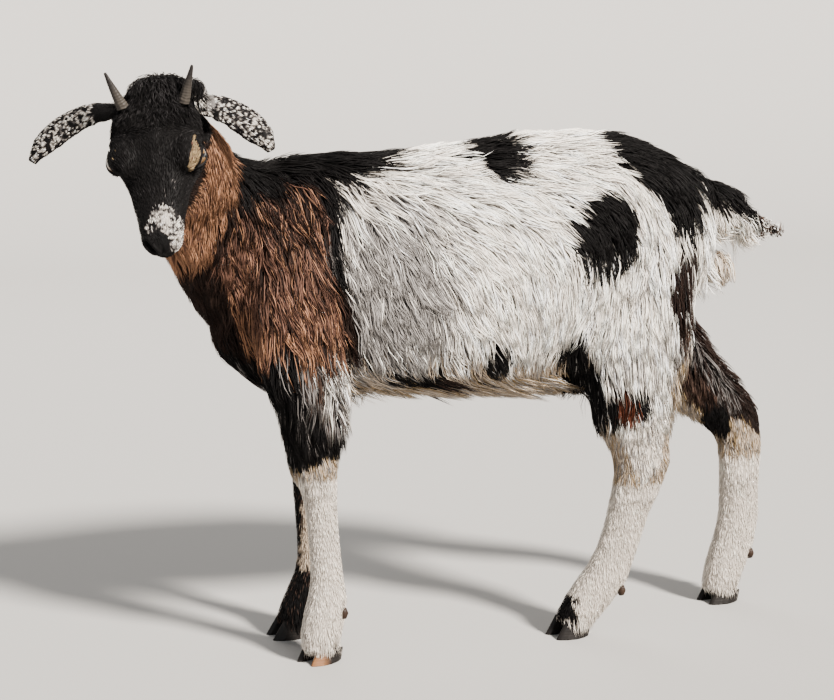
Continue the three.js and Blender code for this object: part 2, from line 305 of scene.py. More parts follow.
KIND_STYLE = {
    # kind of node: depth of the coat, length and width of a lock in millimetres, locks per square centimetre
    "trunk": (9, 52, 1.17, 10.7),
    "neck": (9, 36, 1.05, 20),
    "tail": (11, 44, 1.3, 32),
    "upper": (7, 40, 1.12, 13),
    "lower": (1.8, 9, 0.63, 23.8),
    "head": (1.4, 5.5, 0.7, 40),
    "ear": (0.4, 4.0, 0.6, 62),
    "claw": (2.2, 0, 0, 0),
    "dewclaw": (2.2, 0, 0, 0),
    "horn": (2.2, 0, 0, 0),
    "eye": (0, 0, 0, 0),
}


def styles_of(kinds):
    """The style's four columns, with a value for each vertex."""
    rows = np.zeros((len(kinds), 4))
    for kind, style in KIND_STYLE.items():
        rows[kinds == kind] = style
    return rows.T


def shortening(points, kinds):
    """How far the long hair of the upper leg has given way to the short hair below, from 0 to 1."""
    return ramp(on_body(points)[:, 2], 275, 200) * (kinds == "upper")


def coat_depth(surface, kinds):
    depth = mix(styles_of(kinds)[0], KIND_STYLE["lower"][0], shortening(surface.points, kinds))
    return surface.blurred(depth * MM, 12)


def body_shell():
    piece = link("skin", all_nodes())
    mesh = modified(piece, "REMESH", mode="VOXEL", voxel_size=VOXEL)
    keep_largest_island(mesh)
    surface = Surface(mesh)
    rounded(surface, SMOOTH_ROUNDS)
    kinds = kinds_of_nodes(surface.points)
    room = surface.blurred(thickness(mesh, surface), 4)
    depth = coat_depth(surface, kinds)
    depth = np.where(kinds == "eye", 0, np.minimum(depth, MOST_OF_ROOM * room))
    normals = unit(surface.blurred(surface.normals, 6))
    surface.move(surface.points - normals * depth[:, None])
    rounded(surface, SETTLE_ROUNDS)
    return piece, surface


def thin_out(piece, surface):
    """Lowers the triangle count away from the head, where the coat hides the skin."""
    far = ~np.isin(kinds_of_nodes(surface.points), ("head", "ear", "eye", "horn"))
    group = piece.vertex_groups.new(name="far")
    group.add(np.flatnonzero(far).tolist(), 1.0, "REPLACE")
    mesh = modified(piece, "DECIMATE", ratio=BODY_TRIANGLES, vertex_group="far")
    piece.vertex_groups.clear()
    return Surface(mesh)


# ---------- face ----------
# Places and sizes in millimetres, in the head's own frame.
LID_THICK = 1.9
LID_HOLLOW = 2.4  # how far the skin lies behind the eyeball's front, inside the opening
CREASE_DEPTH, CREASE_GAP, CREASE_WIDTH = 0.9, 3.6, 0.8  # its gap is measured from the lid's edge
SLIT_HALF_LENGTH = 10.5
UPPER_OPENING, LOWER_OPENING = 4.9, 3.7
FAR_OUTSIDE = 9.0  # the margin given to what lies on the eye's back
NOSTRIL = ((158, 4.5, -43), (156, 10.5, -36), (149, 13.5, -34))  # inner end, bend and outer end
NOSTRIL_DEPTH, NOSTRIL_RIM = 4.5, 1.0
MOUTH_CORNER = 126
MOUTH_DEPTH, LIP_HEIGHT = 2.4, 1.1


def bezier(start, bend, end, count=12):
    t = np.linspace(0, 1, count)[:, None]
    start, bend, end = (np.array(point, float) for point in (start, bend, end))
    return (1 - t) ** 2 * start + 2 * t * (1 - t) * bend + t * t * end


def eye_axes(side):
    """An eye's directions on the head: outward, forward along its slit, and up."""
    sign = 1 if side == "left" else -1
    gaze = unit(np.array([0.2, sign, 0.16]))
    slit = np.array([1.0, 0.0, -0.22])
    along = unit(slit - gaze * (slit @ gaze))
    return gaze, along, np.cross(along, gaze) * sign


def round_eye(local, side):
    """Seen from an eye's middle: how far out and up a place lies, its distance, and its margin, which is
    how far outside the lids' opening it is, in millimetres on the eyeball."""
    gaze, along, over = eye_axes(side)
    offset = local - on_head(EYES[side])
    distance = np.linalg.norm(offset, axis=1)
    ways = offset / np.maximum(distance, 1e-6)[:, None]
    out, up = ways @ gaze, ways @ over
    reach = np.clip(np.abs(ways @ along * EYE_RADIUS) / SLIT_HALF_LENGTH, 0, 1)
    opening = np.where(up > 0, UPPER_OPENING, LOWER_OPENING) * (1 - reach ** 2)
    margin = np.where(out > 0.1, np.abs(up * EYE_RADIUS) - opening, FAR_OUTSIDE)
    return out, up, distance, margin


def with_lids(local, side):
    centre = on_head(EYES[side])
    out, up, distance, margin = round_eye(local, side)
    lid = EYE_RADIUS + LID_THICK * ramp(margin, -0.7, 0.5) - LID_HOLLOW * ramp(margin, 0.1, -1.0)
    crease = CREASE_DEPTH * bell(margin - CREASE_GAP, CREASE_WIDTH) * (up > 0)
    near = ramp(margin, 7.5, 3.5) * ramp(out, 0.05, 0.35) * ramp(distance, EYE_RADIUS + 9, EYE_RADIUS + 5)
    target = mix(distance, lid - crease, near)
    return centre + (local - centre) * (target / np.maximum(distance, 1e-6))[:, None]


def with_nostrils(local, normals):
    depth = np.zeros(len(local))
    for side in (1, -1):
        course = bezier(*NOSTRIL) * (1, side, 1)
        gap = np.min(np.linalg.norm(local[:, None, :] - course[None], axis=2), axis=1)
        depth += NOSTRIL_DEPTH * ramp(gap, 2.6, 0.9) - NOSTRIL_RIM * bell(gap - 4.2, 1.3)
    return local - normals * depth[:, None]


def with_mouth(local, normals):
    along, across, height = local.T
    line = -51.5 - 3.5 * np.sin(np.clip((160 - along) / 34, 0, 1) * math.pi * 0.75)
    reach = ramp(along, MOUTH_CORNER - 2, MOUTH_CORNER + 5)
    groove = MOUTH_DEPTH * bell(height - line, 1.3) * reach
    lips = LIP_HEIGHT * bell(height - line, 4.5) * reach
    philtrum = bell(across, 1.1) * ramp(along, 150, 156) * ramp(height, line + 1, line + 4)
    return local - normals * (groove - lips + philtrum)[:, None]


def refine(mesh, chosen):
    """Halves the edges between chosen vertices."""
    inside = set(np.flatnonzero(chosen).tolist())
    with editing(mesh) as work:
        edges = [edge for edge in work.edges if inside.issuperset(vertex.index for vertex in edge.verts)]
        bmesh.ops.subdivide_edges(work, edges=edges, cuts=1, use_grid_fill=True, smooth=0)
        bmesh.ops.triangulate(work, faces=[face for face in work.faces if len(face.verts) > 4])


def shaped_face(mesh):
    """Divides the skin finely where the features are, and carves them."""
    surface = Surface(mesh)
    for reach, with_nose in ((10, True), (5.5, False)):
        local = on_head(surface.points)
        nose = (local[:, 0] > 118) & (local[:, 2] < -24)
        chosen = nose & with_nose
        for side in EYES:
            out, _, distance, _ = round_eye(local, side)
            chosen = chosen | ((distance < EYE_RADIUS + reach) & (out > 0))
        refine(mesh, chosen)
        surface = Surface(mesh)
    normals = surface.normals @ HEAD_AXES.T
    local = with_mouth(on_head(surface.points), normals)
    local = with_nostrils(local, normals)
    for side in EYES:
        local = with_lids(local, side)
    surface.move(from_head(local))
    return surface


# ---------- the lie of the coat ----------
BELLY, WITHERS = 270, 510  # heights in millimetres
FEATHER_LENGTH = 12 * MM
# The line from the ear's root round the jaw, in the head's own frame.
JAW_ALONG = [12, 28, 38, 48, 56, 69, 76, 100]
JAW_HEIGHT = [-50, -45, -47, -56, -65, -79, -87, -90]
EAR_ROOT, EAR_ROOT_ASIDE = (10, 0, 0), 30 * MM
LOW_SLOPE, SPINE_SLOPE, UNDER_SLOPE = 84, 8, 20  # fall of the trunk's hair in degrees
ZONE_SLOPES = (
    # fall of the hair, and the x and the z over which it sets in
    (74, (-40, -110), (490, 430)),  # girth
    (101, (5, 65), (450, 380)),  # flank
    (90, (95, 150), (503, 450)),  # haunch
    (76, (-95, -150), (506, 465)),  # shoulder
)


def trunk_flow(points, normals):
    """Back along the spine, down and back over the barrel, and straight down the limbs."""
    x, _, z = on_body(points).T
    height = np.clip((z - BELLY) / (WITHERS - BELLY), 0, 1)
    droop = mix(LOW_SLOPE, SPINE_SLOPE, height ** 1.3)
    for slope, along, down in ZONE_SLOPES:
        droop = mix(droop, slope, ramp(x, *along) * ramp(z, *down))
    droop = np.radians(mix(droop, UNDER_SLOPE, ramp(normals[:, 2], -0.5, -0.9)))
    return np.stack([np.cos(droop), np.zeros(len(x)), -np.sin(droop)], axis=1)


def below_jaw(local):
    """Over 0 under the line, from the ear's root round the jaw, where the face's short hair gives way."""
    line = np.interp(local[:, 0], JAW_ALONG, JAW_HEIGHT)
    return line - local[:, 2]


def head_flow(points):
    along, across, height = on_head(points).T
    forehead = ramp(along, 72, 36)
    aside = np.abs(across)
    parting = 0.25 * ramp(aside, 3, 20) + 0.9 * (1 - np.abs(2 * forehead - 1)) * ramp(aside, 0, 6)
    course = -np.outer(1 - 1.8 * forehead, MUZZLE) - np.outer(0.7 * ramp(height, -25, -45), BROW)
    return course + np.outer(np.sign(across) * parting, ACROSS)


def ear_flow(points):
    side = np.sign(on_head(points)[:, 1])[:, None]
    root = from_head(np.array([EAR_ROOT])) + ACROSS * side * EAR_ROOT_ASIDE
    return unit(points - root)


def flow_field(surface, kinds):
    """The way the hair lies at each vertex, along the skin."""
    points, normals = surface.points, surface.normals
    behind = ramp(normals[:, 0], 0.1, 0.7)[:, None]
    nape = ramp(normals[:, 2], 0.35, 0.8)[:, None]
    rules = {
        "trunk": trunk_flow(points, normals),
        "neck": mix(np.array([0.12, 0.05, -1]), np.array([0.8, 0.3, -0.5]), nape),
        "tail": mix(np.array([0.5, 0, -1]), np.array([1.0, 0, -0.15]), nape),
        "head": head_flow(points),
        "ear": ear_flow(points),
    }
    flow = np.array([0.1, 0, -1]) + np.array([0.35, 0, 0]) * behind
    for kind, course in rules.items():
        flow = np.where((kinds == kind)[:, None], course, flow)
    throat = ramp(below_jaw(on_head(points)), -4, 6) * (kinds == "head")
    flow = mix(unit(flow), rules["neck"], throat[:, None])
    for _ in range(12):
        flow = flow - normals * np.sum(flow * normals, axis=1, keepdims=True)
        flow = surface.blurred(unit(flow), 1)
    return unit(flow - normals * np.sum(flow * normals, axis=1, keepdims=True))


class Coat:
    """What the coat is like at each vertex of the skin, in metres."""

    def __init__(self, surface):
        self.surface = surface
        self.kinds = kinds_of_nodes(surface.points)
        self.flow = flow_field(surface, self.kinds)
        _, length, width, density = styles_of(self.kinds)
        self.length = surface.blurred(length * MM, 10)
        self.width = surface.blurred(width * MM, 10)
        self.density = density * 1e4
        self.depth = coat_depth(surface, self.kinds)
        self.freedom = np.zeros(len(surface.points))
        shaggy = np.where(self.on("trunk", "neck", "upper", "tail"), 1.0, 0.3)
        self.sway = surface.blurred(shaggy * np.where(self.on("upper"), 0.65, 1), 6)
        self.wave = 0.14 * self.sway
        self.rim = 1 - np.linalg.norm(surface.blurred(surface.normals, 5), axis=1)
        self.style_body()
        self.style_head()

    def on(self, *kinds):
        return np.isin(self.kinds, kinds)

    def zone(self, share, freedom=0.0, **settings):
        """Where share is 1, the hair hangs this free of the skin and takes the other settings."""
        self.freedom = np.maximum(self.freedom, freedom * share)
        adjust(self, **{name: mix(getattr(self, name), value, share) for name, value in settings.items()})

    def style_body(self):
        x, _, z = on_body(self.surface.points).T
        back, _, up = self.surface.normals.T
        belly = ramp(z, 310, 270) * self.on("trunk", "upper") * ramp(up, 0.2, -0.5)
        self.length *= 1 + 0.45 * belly
        self.zone(belly, freedom=0.8)
        short = shortening(self.surface.points, self.kinds)
        self.length *= mix(1, 0.3, short)
        self.width *= mix(1, 0.6, short)
        self.density *= mix(1, 1.6, short)
        self.length *= mix(1, 0.75, ramp(z, 470, 520) * self.on("trunk"))
        brisket = self.on("trunk", "neck", "upper") * ramp(x, -178, -205) * ramp(z, 350, 305)
        brisket = brisket * ramp(z, 235, 265)
        self.length *= mix(1, 1.25, brisket)
        self.zone(brisket, freedom=0.55, depth=14 * MM)
        behind = ramp(back, 0.2, 0.8)
        self.zone(behind * self.on("lower") * ramp(z, 30, 60), freedom=0.5, length=FEATHER_LENGTH)
        self.zone(behind * self.on("upper", "trunk") * ramp(z, 220, 280), freedom=0.7, depth=17 * MM)
        mound = self.on("trunk") * ramp(x, 252, 268) * ramp(z, 412, 404)
        self.zone(mound, length=24 * MM, density=20e4, depth=15 * MM)
        tail = self.on("tail")
        self.zone(tail, freedom=mix(0.8, 0.7, ramp(up, -0.2, 0.6)))
        self.depth *= np.where(tail, 1.4, 1)
        coronet = self.on("lower") * ramp(z, 45, 22)
        self.zone(coronet, freedom=0.5, length=15 * MM, depth=4.5 * MM)
        self.length *= mix(1, 0.22, ramp(x, 280, 318) * tail)

    def style_head(self):
        local = on_head(self.surface.points)
        head = self.on("head")
        poll = head * ramp(local[:, 0], 56, 22) * ramp(local[:, 2], -34, -12)
        self.zone(poll, length=14 * MM, width=0.85 * MM, depth=5 * MM, wave=0.25, density=42e4)
        throat = head * ramp(below_jaw(local), -4, 10)
        self.zone(throat, length=26 * MM, width=1.1 * MM, depth=5 * MM, density=22e4)
        muzzle = head * ramp(local[:, 0], 105, 130)
        self.zone(muzzle, length=3.4 * MM, width=0.6 * MM, depth=0.9 * MM)
        self.density *= 1 - bare_face(local)


def bare_face(local):
    """1 where the face has no hair: between the lids and on the nose pad."""
    bare = ramp(local[:, 0], 151, 155) * ramp(local[:, 2], -50, -46) * ramp(np.abs(local[:, 1]), 13, 9)
    for side in EYES:
        _, _, distance, margin = round_eye(local, side)
        close = ramp(distance, EYE_RADIUS + 5, EYE_RADIUS + 3)
        bare = np.maximum(bare, ramp(margin, 2.2, 1.2) * close)
    return bare


# ---------- markings ----------
PALETTE = {
    # colour: linear, at the root and at the tip of a lock, and how much it differs between strands
    # The roots are far darker than the tips: partly the hair's own darker base, partly painted shade deep in
    # the coat between the locks.
    "white": ((0.12, 0.10, 0.083), (0.90, 0.84, 0.76), 0.65),
    "bone": ((0.24, 0.205, 0.17), (0.80, 0.73, 0.65), 0.55),
    "cream": ((0.16, 0.12, 0.085), (0.52, 0.42, 0.32), 0.6),
    "silver": ((0.045, 0.041, 0.038), (0.25, 0.233, 0.22), 0.9),
    "grey": ((0.020, 0.018, 0.017), (0.13, 0.118, 0.112), 0.9),
    # Painted sheen: dark grey strands that stand for the light's shine on the face's black hair.
    "smoke": ((0.002, 0.002, 0.002), (0.020, 0.0185, 0.019), 1.0),
    "black": ((0.001, 0.0008, 0.0008), (0.0032, 0.0027, 0.0027), 1.0),
    "dark": ((0.002, 0.0014, 0.001), (0.014, 0.0075, 0.0055), 1.2),
    "umber": ((0.006, 0.0034, 0.0025), (0.052, 0.031, 0.023), 1.2),
    "brown": ((0.004, 0.002, 0.0015), (0.100, 0.050, 0.034), 1.5),
    "tan": ((0.014, 0.007, 0.004), (0.285, 0.143, 0.080), 1.2),
    "straw": ((0.05, 0.035, 0.02), (0.27, 0.19, 0.10), 0.7),
    "russet": ((0.007, 0.003, 0.002), (0.075, 0.022, 0.011), 1.0),
}
COLOURS = list(PALETTE)
EAR_RIM = 0.12  # how sharply the skin turns at an ear's edge


def within(x, z, centre, radii, turn=0):
    """Over 0 inside an ellipse, in millimetres, and 1 at its middle."""
    angle = math.radians(turn)
    dx, dz = x - centre[0], z - centre[1]
    first = dx * math.cos(angle) + dz * math.sin(angle)
    second = dz * math.cos(angle) - dx * math.sin(angle)
    return 1 - np.hypot(first / radii[0], second / radii[1])


def near_line(x, z, course, width):
    """Over 0 within a width of a line through the points of a course, and 1 on the line."""
    gap = np.full(len(x), 1e9)
    for (x0, z0), (x1, z1) in itertools.pairwise(course):
        step = np.array([x1 - x0, z1 - z0])
        share = np.clip(((x - x0) * step[0] + (z - z0) * step[1]) / (step @ step), 0, 1)
        gap = np.minimum(gap, np.hypot(x - x0 - share * step[0], z - z0 - share * step[1]))
    return 1 - gap / width


class Markings:
    """Names the coat's colour at each place. Chance, from 0 to 1, lets the hairs mingle at an edge."""

    def __init__(self, points, kinds, rim, chance):
        self.points, self.kinds, self.rim, self.chance = points, kinds, rim, chance
        self.x, self.y, self.z = on_body(points).T
        self.left = self.y < 0
        self.ragged = 5 * noise(points, 0.02) + 4 * noise(points, 0.007, 1) + 5 * (chance - 0.5)
        self.names = np.full(len(points), "white", dtype="<U8")
        barrel, limbs = ("trunk", "neck", "upper"), ("upper", "lower", "trunk")
        for mark, area in (
                (self.shoulder, barrel), (self.neck, barrel), (self.back, barrel), (self.rump, barrel),
                (self.forelegs, limbs + ("claw", "dewclaw")), (self.hind_legs, limbs),
                (self.shins, ("upper", "lower", "claw", "dewclaw")), (self.tail, ("tail",)),
                (self.face, ("head", "eye", "horn")), (self.ears, ("ear", "head"))):
            self.area = self.on(*area)
            mark()

    def on(self, *kinds):
        return np.isin(self.kinds, kinds)

    def put(self, where=True, over=None, **shares):
        """Colours these shares of the strands, and where over names a colour, only those that have it."""
        chosen = self.area & where & (self.names == over if over else True)
        for colour, share in shares.items():
            self.names[chosen & (self.chance < share)] = colour

    def spot(self, centre, radii, turn=0):
        size = min(radii)
        return within(self.x, self.z, centre, radii, turn) + self.ragged / size > 0

    def streak(self, course, width):
        return near_line(self.x, self.z, course, width) + self.ragged / width > 0

    def shoulder(self):
        x, z, ragged, chance = self.x, self.z, self.ragged, self.chance
        edge = np.interp(z, [300, 315, 342, 367, 433, 470], [-132, -128, -136, -143, -147, -144])
        shoulder = (x + ragged < edge) & (z > 304 + ragged)
        dusk = 0.2 + 0.15 * noise(self.points, 0.03, 3) + 0.4 * ramp(z, 395, 445)
        self.put(shoulder, brown=1, dark=dusk)
        light = 0.12 + 0.35 * ramp(z, 385, 315) + 0.15 * noise(self.points, 0.02, 18)
        self.put(shoulder & (chance > 1 - light), tan=1)
        band = shoulder & (x + ragged > np.interp(z, [315, 367, 400, 470], [-144, -153, -164, -162]))
        self.put(band, dark=1)
        self.put(band & (z > 385), black=1)
        self.put(band & (z > 402) & (z < 436) & (chance > 0.7), grey=1)

    def neck(self):
        x, z, ragged = self.x, self.z, self.ragged
        gap = x + 0.4 * ragged - np.interp(
            z, [370, 394, 410, 427, 441, 455, 473], [-290, -279, -266, -259, -255, -249, -239])
        self.put(gap < -4, tan=1)
        self.put((gap < -4) & (self.chance > 0.8), brown=1)
        self.put((np.abs(gap) < 6) & (z > 380), dark=1)
        # Dark brown strands low on the chest front: partly the chest's own dark hair, partly painted shade
        # on the chest.
        chest = np.interp(x, [-290, -262, -251, -246, -233, -222], [392, 386, 357, 337, 316, 296])
        self.put((x < -222) & (z + ragged < chest), dark=1)
        cape = np.interp(
            x, [-245, -222, -209, -197, -182, -155, -144, -125, -99, -90, -68],
            [448, 455, 462, 474, 479, 470, 472, 479, 485, 492, 503])
        self.put((x < -70) & (x > -246) & (z + 0.8 * ragged > cape), black=1)
        self.put(self.on("neck") & (z > 472) & (self.y > -48 + ragged), black=1)

    def back(self):
        left, right, z = self.left, ~self.left, self.z
        for side, centre, radii, turn in (
                (self.y < 14, (15, 506), (29, 32), 18), (left, (114, 425), (36, 41), -32),
                (right, (-24, 430), (44, 30), -20), (right, (142, 382), (36, 30), 30),
                (left, (-68, 281), (34, 12), -8)):
            self.put(side & self.spot(centre, radii, turn), black=1)
        self.put(left & self.streak([(-40, 277), (-12, 284)], 7), umber=0.7)
        self.put(left & self.spot((4, 300), (12, 23), -12), black=0.95)
        flank = 1.85 * within(self.x, z, (-104, 372), (88, 100)) + 0.35 * noise(self.points, 0.03, 19)
        self.put(over="white", silver=np.clip(flank, 0, 0.9))
        self.put(self.chance > 0.95, over="white", silver=1)
        # Cream, straw and silver strands low on the barrel and under the belly: partly the belly's own cream
        # hair, partly painted shade under the barrel.
        under = (z < 300) & (np.abs(self.y) < 70)
        self.put(under, over="white", cream=0.7)
        self.put(under & (z < 288), over="cream", straw=0.3)
        self.put((z < 312 + self.ragged) & (self.chance > 0.72), over="white", silver=1)

    def rump(self):
        x, z = self.x, self.z
        saddle = np.interp(
            x, [118, 125, 141, 159, 173, 186, 193, 223, 234, 240, 262],
            [530, 514, 495, 477, 464, 445, 420, 416, 436, 456, 452])
        self.put((x > 119) & (z + 0.7 * self.ragged > saddle), black=1)
        self.put(self.left & self.streak([(213, 390), (203, 362), (208, 334)], 15), dark=0.9)
        self.put(self.left & self.streak([(208, 320), (204, 296), (200, 285)], 8), umber=0.6)
        # The mound under the tail is painted beige with bone and cream strands, mostly as painted shade
        # under the tail over white hair.
        self.put((x > 262) & (z < 404) & (z > 330), over="white", bone=1, cream=0.5)

    def forelegs(self):
        x, z, ragged = self.x, self.z, self.ragged
        elbow = np.interp(x, [-200, -186, -156], [192, 199, 207])
        arm = self.left & (x < -140) & (z < 308 + ragged) & (z + 0.5 * ragged > elbow)
        self.put(arm, grey=1, umber=0.3)
        pale = arm & (x + ragged > np.interp(z, [205, 280, 308], [-156, -170, -186]))
        self.put(pale, white=0.2 + 0.4 * ramp(z, 225, 290))
        front = np.interp(z, [190, 225, 240, 273, 300], [-145, -150, -180, -190, -198])
        self.put(arm & (x + 1.3 * ragged < front + 4), black=0.93)
        far_leg = (x < -5) & ~self.left & (z < 330)
        self.put(far_leg, black=1, umber=0.2)
        self.put(far_leg & (self.y < 48) & self.spot((-163, 112), (9, 34)), cream=1)

    def hind_legs(self):
        x, z, ragged = self.x, self.z, self.ragged
        leg = (x > 55) & (z < 345)
        near, far = leg & self.left, leg & ~self.left
        stifle = self.streak([(84, 310), (98, 285), (106, 256), (120, 236), (156, 246)], 15)
        self.put(near & stifle, black=0.96)
        self.put(near & self.spot((146, 238), (15, 13)), russet=0.8)
        self.put(near & self.on("lower") & (z < 42 + ragged) & (x < 100 + ragged), black=1)
        below = np.interp(x, [230, 272, 300, 320, 338], [250, 212, 208, 200, 184])
        gaskin = far & (x > 214) & (z < 330) & (z + 0.5 * ragged > below)
        self.put(gaskin, umber=1, dark=0.5)
        self.put(gaskin & (x + ragged > np.interp(z, [184, 206, 262, 285], [318, 310, 272, 246])), dark=1)
        glint = self.streak([(256, 285), (286, 246), (306, 222)], 8)
        self.put(gaskin & glint & (self.chance > 0.45), grey=1)
        self.put(far & self.spot((289, 196), (12, 23), 25), black=1)

    def shins(self):
        self.put(self.z < 205 + 55 * self.chance, over="white", bone=1)

    def tail(self):
        x, z = self.x, self.z
        lower = np.interp(x, [250, 262, 275, 284, 298, 325], [440, 436, 424, 436, 426, 414])
        self.put((x < 318) & (z + 0.8 * self.ragged > lower), black=1)
        self.put((x > 316) & (z > 402), umber=0.6)
        self.put((z < 415) & (x < 310), cream=0.25)

    def face(self):
        local = on_head(self.points)
        along, across, height = local.T
        ragged = 2.2 * noise(self.points, 0.009, 4) + 3 * (self.chance - 0.5)
        # Painted sheen: a share of the face's black strands, most towards the forehead and poll, is dark
        # grey where the light shines on the hair.
        self.put(black=1, smoke=0.09 + 0.26 * ramp(along, 55, 20) + 0.15 * noise(self.points, 0.012, 20))
        under = below_jaw(local) - 1.5 * ragged
        # Dark brown strands in a band just over the jaw's line: partly the cheek's own darker hair, partly
        # painted shade where the jaw is in shadow.
        self.put((under > -9) & (along > 30), dark=1)
        self.put(under > 0, tan=1)
        self.put((under > 0) & (self.chance > 0.78), brown=1)
        self.muzzle(along, across, height, ragged)
        # Painted highlight: a few grey strands on the left of the bridge of the nose, where the light
        # catches the black hair.
        self.put((within(along, across, (106, 13), (16, 8)) > 0) & (height > -30), grey=0.05)
        # Painted shade: the stripe by the right eye, on the side away from the light, is all but left out (a
        # share of 0.015 against 0.95 by the left eye).
        for side, sign, share in (("left", 1, 0.95), ("right", -1, 0.015)):
            inner = np.interp(along, [60, 75, 85, 92], [35, 33, 30, 27]) + 0.3 * ragged
            stripe = near_line(along, height, [(64, 4), (76, 3), (84, -2), (90, -11)], 4.5)
            brow = (across * sign > inner) & (stripe + 0.06 * ragged > 0)
            self.put(brow, straw=share, brown=0.25 * share)
            _, _, distance, margin = round_eye(local, side)
            self.put((distance < EYE_RADIUS + 4) & (margin < 2.4), black=1)

    def muzzle(self, along, across, height, ragged):
        """Speckles of grey, silver and white above the lips, fewer on the right, and a black nose."""
        speckle = 1.1 * noise(self.points, 0.0018, 5) + 1.3 * (self.chance - 0.5)
        patch = np.maximum(
            within(along, across, (137, 4), (17, 17)), within(along, across, (149, 15), (15, 9)))
        inside = (height > -56) & (patch + 0.07 * ragged > 0)
        dusk = 0.35 * ramp(across, 4, -8) - 0.5 * patch
        self.put(inside & (speckle > dusk - 0.14), grey=1)
        self.put(inside & (speckle > dusk + 0.03), silver=1)
        self.put(inside & (speckle > dusk + 0.32), white=1)
        self.put(within(along, across, (156, -3), (14, 10)) + 0.12 * ragged > 0, black=1)

    def ears(self):
        along, across, height = on_head(self.points).T
        ear = self.on("ear")
        # Painted shade: the left ear, which the key light falls on, gets fewer grey and white spots than the
        # right.
        spots = noise(self.points, 0.0018, 6) + 0.6 * noise(self.points, 0.0010, 7) - 0.08 * (across > 0)
        self.put(ear, black=1)
        self.put(ear & (spots > 0.06), grey=1)
        self.put(ear & (spots > 0.23), white=1)
        root = np.abs(across) + 3 * noise(self.points, 0.008, 9)
        right, left = (across < 0) & (root < 56), (across > 0) & (root < 48) & (height < -22)
        self.put(ear & ((self.rim > EAR_RIM) | right | left), black=1)
        tuft = (across > 46) & (root < 54) & (along < 20) & (height > -20) & (height < 0)
        self.put(tuft, silver=0.55)


def coat_colours(names, chance):
    """Root and tip colours, with the differences between one strand and the next. The dark roots are partly
    painted shade deep in the coat.
    """
    order = np.array([COLOURS.index(name) for name in names])
    roots, tips, spreads = (np.array([PALETTE[name][k] for name in COLOURS])[order] for k in range(3))
    shade = 1 + spreads[:, None] * (chance[:, None] - 0.5)
    return roots * shade, np.minimum(tips * shade, 0.9)


# ---------- locks ----------
LOWEST_HAIR = 1.2 * MM  # no hair reaches the floor
ROOT_SINK = 0.6 * MM  # how far a lock starts inside the skin
LENGTH_SPREAD = (0.65, 1.25)
DEPTH_SPREAD = (0.45, 1.0)
WIDTH_SPREAD = (0.7, 1.3)
HAIR_WEIGHT = 0.16  # how far free hair turns down at each ring
CLUMP_WIDTH = 0.35  # at its tips, as a share of the width at its roots
SWING = 0.09  # how far each lock turns on its own from the lie of the coat
RIDGE = 0.9  # height of a lock's ridge, as a share of half its width
TAPER = ([0, 0.3, 0.7, 1], [0.75, 1, 0.72, 0])  # width of a lock from its root to its tip
PATCH = 0.003  # size of a lock's patch on the map


class Locks:
    """Tapered locks with three sides, each a run of rings from its root to its tip."""

    def __init__(self, coat, seed):
        self.rng = np.random.default_rng(seed)
        self.coat = coat
        self.nearest = nearest_finder(coat.surface.points)
        mesh = coat.surface.mesh
        mesh.calc_loop_triangles()
        self.triangles = read(mesh.loop_triangles, "vertices", 3, np.int32)

    def scatter(self, kinds):
        """Roots over the skin of these kinds, each at its corner weights in a triangle."""
        coat = self.coat
        corners = self.triangles[np.isin(coat.kinds[self.triangles[:, 0]], kinds)]
        a, b, c = (coat.surface.points[corners[:, k]] for k in range(3))
        area = 0.5 * np.linalg.norm(np.cross(b - a, c - a), axis=1)
        total = np.cumsum(area * np.mean(coat.density[corners], axis=1))
        count = int(total[-1])
        spots = (np.arange(count) + self.rng.random(count)) / count * total[-1]
        chosen = corners[np.minimum(np.searchsorted(total, spots), len(corners) - 1)]
        u, v = self.rng.random((2, count))
        fold = u + v > 1
        u, v = np.where(fold, 1 - u, u), np.where(fold, 1 - v, v)
        return chosen, np.stack([1 - u - v, u, v], axis=1)

    def grow(self, chosen, weights, steps):
        """Each lock's rings: their middles and the ways out of the skin under them."""
        coat, rng = self.coat, self.rng
        surface = coat.surface

        def at(values):
            shares = weights if values.ndim == 1 else weights[:, :, None]
            return np.sum(values[chosen] * shares, axis=1)

        root = at(surface.points)
        normal = unit(at(surface.normals))
        count = len(root)
        length = at(coat.length) * rng.uniform(*LENGTH_SPREAD, count)
        depth = at(coat.depth) * rng.uniform(*DEPTH_SPREAD, count)
        freedom = at(coat.freedom)[:, None]
        swing = 0.34 * noise(root, 0.035, 8) + 0.2 * noise(root, 0.011, 9) + rng.normal(0, SWING, count)
        swing *= at(coat.sway)
        flow = unit(at(coat.flow))
        side = np.cross(normal, flow)
        heading = unit(flow * np.cos(swing)[:, None] + side * np.sin(swing)[:, None])
        bend = at(coat.wave) * length
        phase = rng.uniform(0, 2 * math.pi, count)
        place = root.copy()
        rings = [root - normal * ROOT_SINK]
        outs = [normal]
        for step in range(1, steps + 1):
            share = step / steps
            place = place + heading * (length / steps)[:, None]
            near = self.nearest(place)
            out = surface.normals[near]
            rise = np.sum((place - surface.points[near]) * out, axis=1, keepdims=True)
            place = place - out * rise * np.where(rise < 0, 1, 1 - freedom)
            lifted = place + out * (depth * share ** 0.75)[:, None]
            lifted[:, 2] = np.maximum(lifted[:, 2], LOWEST_HAIR)
            sideways = np.cross(out, heading)
            rings.append(lifted + sideways * (bend * np.sin(phase + 5 * share) * share)[:, None])
            outs.append(out)
            along_skin = unit(heading + 0.9 * coat.flow[near])
            heading = unit(mix(along_skin, heading, freedom) - UP * HAIR_WEIGHT * freedom)
        return np.stack(rings, axis=1), np.stack(outs, axis=1)

    def clump(self, rings, root, spacing, pull):
        """Draws the tips of neighbouring locks together, so that the coat parts into strands."""
        own = nearest_finder(root[::spacing])(root) * spacing
        offset = (root - root[own])[:, None, :]
        share = np.linspace(0, 1, rings.shape[1])[None, :, None] ** 1.3 * pull
        return mix(rings, rings[own] + CLUMP_WIDTH * offset, share), own


